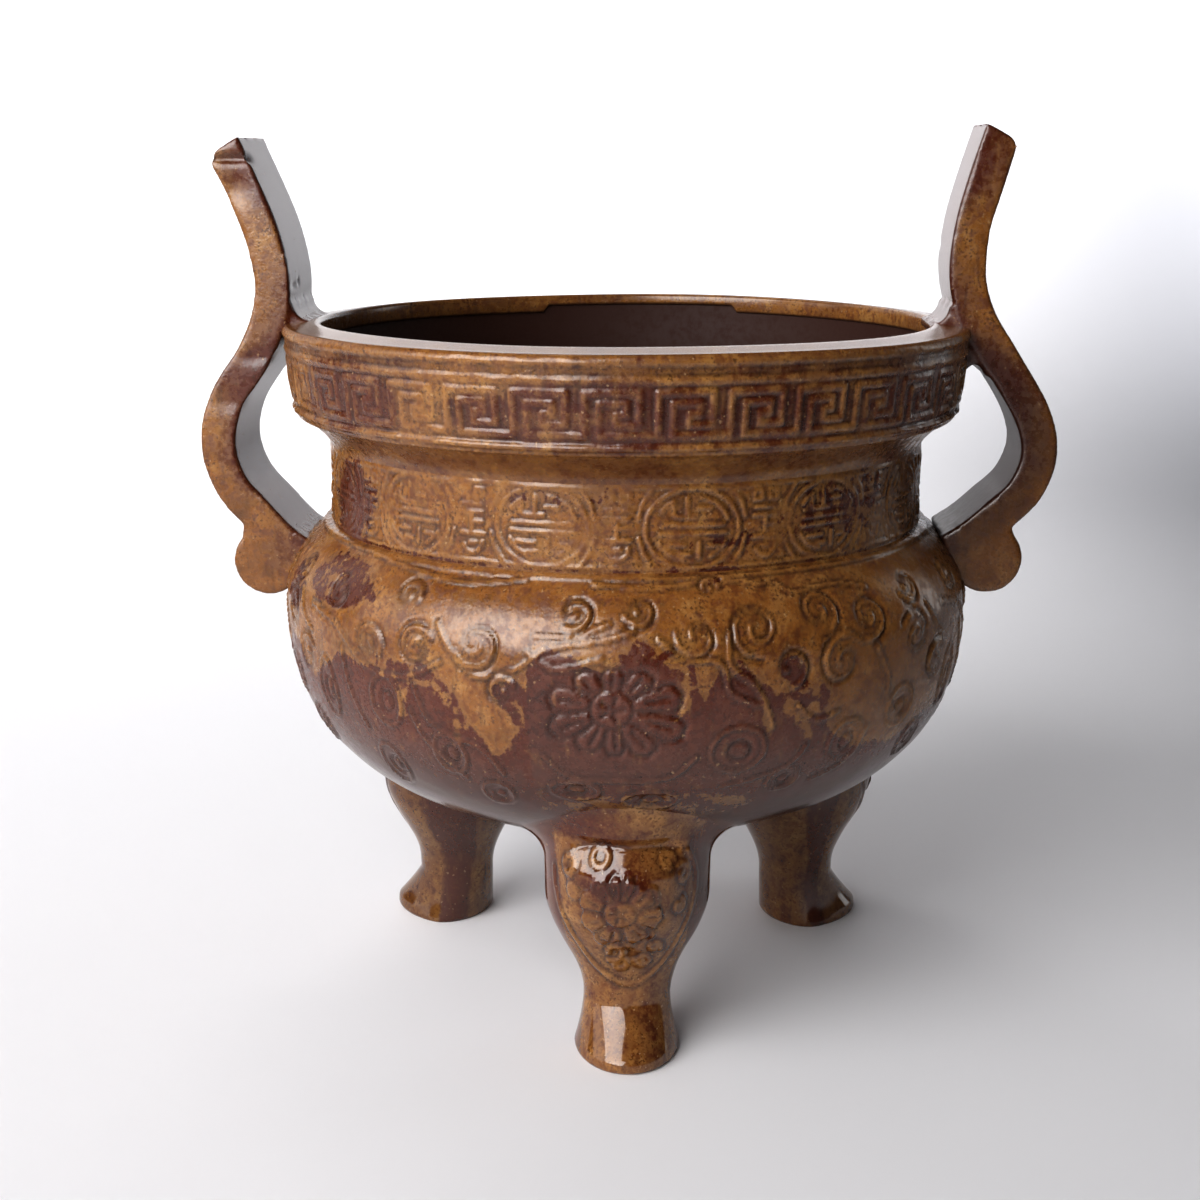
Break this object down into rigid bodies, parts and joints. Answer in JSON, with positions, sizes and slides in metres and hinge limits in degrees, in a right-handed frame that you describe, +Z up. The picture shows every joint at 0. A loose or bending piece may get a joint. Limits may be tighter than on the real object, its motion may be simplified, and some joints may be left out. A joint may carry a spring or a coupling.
{
  "type": "incense burner",
  "caption": "Footed incense burner with a wide open bowl, a key-fret collar, a band of medallions, tall S-shaped strap handles and cabriole legs.",
  "frame": {"origin": "on the floor, under the middle of the burner's box, which is where the bowl's axis meets the floor", "axes": "+Z up along the bowl's axis; -Y towards the front leg; +X towards the handle on the right as seen from the front leg"},
  "size_m": [0.2518, 0.2038, 0.255],
  "materials": {
    "brown_glaze": "gloss"
  },
  "bodies": {
    "root": {"incense_burner": "brown_glaze"}
  },
  "joints": []
}
